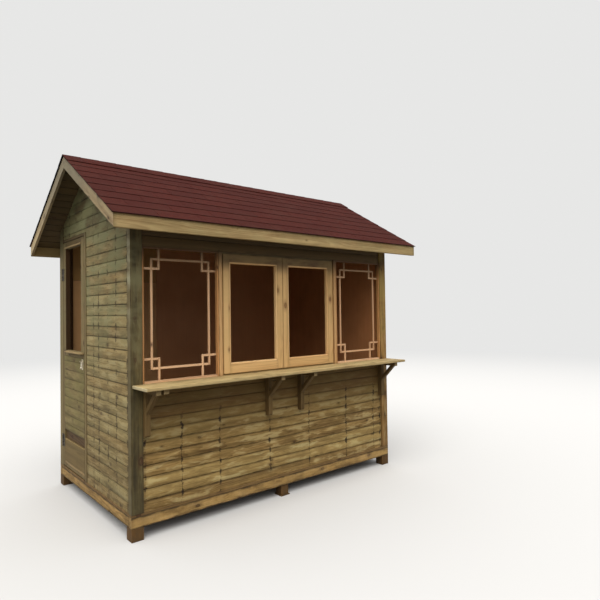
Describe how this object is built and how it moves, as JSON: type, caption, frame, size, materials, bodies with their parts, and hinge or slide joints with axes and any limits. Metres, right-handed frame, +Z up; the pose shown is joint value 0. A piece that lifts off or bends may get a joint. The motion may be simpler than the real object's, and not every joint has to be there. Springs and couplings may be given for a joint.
{
  "type": "wooden market hut",
  "caption": "Small timber sales hut with a gabled shingle roof, a counter shelf on brackets, lattice and sash windows over it and a side door that opens.",
  "frame": {"origin": "on the ground under the middle of the hut", "axes": "+Z up, +X along the counter front to the right as a customer sees it, -Y out of the counter front"},
  "size_m": [3.16, 2.168, 2.8878],
  "materials": {
    "wall_boards": "weathered tan softwood boards",
    "frame_timber": "weathered grey-green softwood",
    "edge_boards": "sawn light softwood",
    "window_pine": "fresh planed pine",
    "counter_pine": "pale planed pine",
    "bracket_timber": "sawn softwood",
    "door_timber": "planed softwood",
    "door_boards": "weathered softwood boards",
    "handle_steel": "satin steel",
    "hinge_steel": "dark coated steel",
    "lining_sheet": "reddish brown plywood",
    "floor_boards": "rough softwood boards",
    "roof_shingle": "dark red-brown mineral surfaced bitumen shingle",
    "roof_timber": "sawn softwood"
  },
  "bodies": {
    "hut": {"bargeboard_left_front": "edge_boards", "bargeboard_left_rear": "edge_boards", "bargeboard_right_front": "edge_boards", "bargeboard_right_rear": "edge_boards", "counter_shelf": "counter_pine", "door_head": "door_timber", "door_jamb": "door_timber", "feet": "frame_timber", "floor_deck": "floor_boards", "floor_joists": "frame_timber", "front_fascia": "edge_boards", "front_header": "frame_timber", "front_roof_boards": "roof_timber", "front_shingles": "roof_shingle", "front_sill": "frame_timber", "front_wall": "wall_boards", "hinge_fixed": "hinge_steel", "lattice_left": "window_pine", "lattice_right": "window_pine", "left_gable": "wall_boards", "left_sill": "frame_timber", "left_wall": "wall_boards", "mullion_left": "window_pine", "mullion_right": "window_pine", "post_front_left": "frame_timber", "post_front_right": "frame_timber", "post_rear_left": "frame_timber", "post_rear_right": "frame_timber", "rafters": "roof_timber", "rear_fascia": "edge_boards", "rear_roof_boards": "roof_timber", "rear_shingles": "roof_shingle", "rear_sill": "frame_timber", "rear_wall": "wall_boards", "ridge_board": "roof_timber", "ridge_cap": "roof_shingle", "right_sill": "frame_timber", "right_wall": "wall_boards", "sash_left": "window_pine", "sash_right": "window_pine", "shelf_bracket_1": "bracket_timber", "shelf_bracket_2": "bracket_timber", "shelf_bracket_3": "bracket_timber", "shelf_bracket_4": "bracket_timber", "wall_lining": "lining_sheet"},
    "door": {"door_leaf": "door_timber", "door_panel": "door_boards", "door_handle": "handle_steel", "hinge_moving": "hinge_steel"}
  },
  "joints": [
    {"name": "door_hinge", "type": "hinge", "parent": "hut", "child": "door", "pos_m": [-1.376, 0.742, 1.2], "axis": [0, 0, -1], "range_deg": [0, 110]}
  ]
}
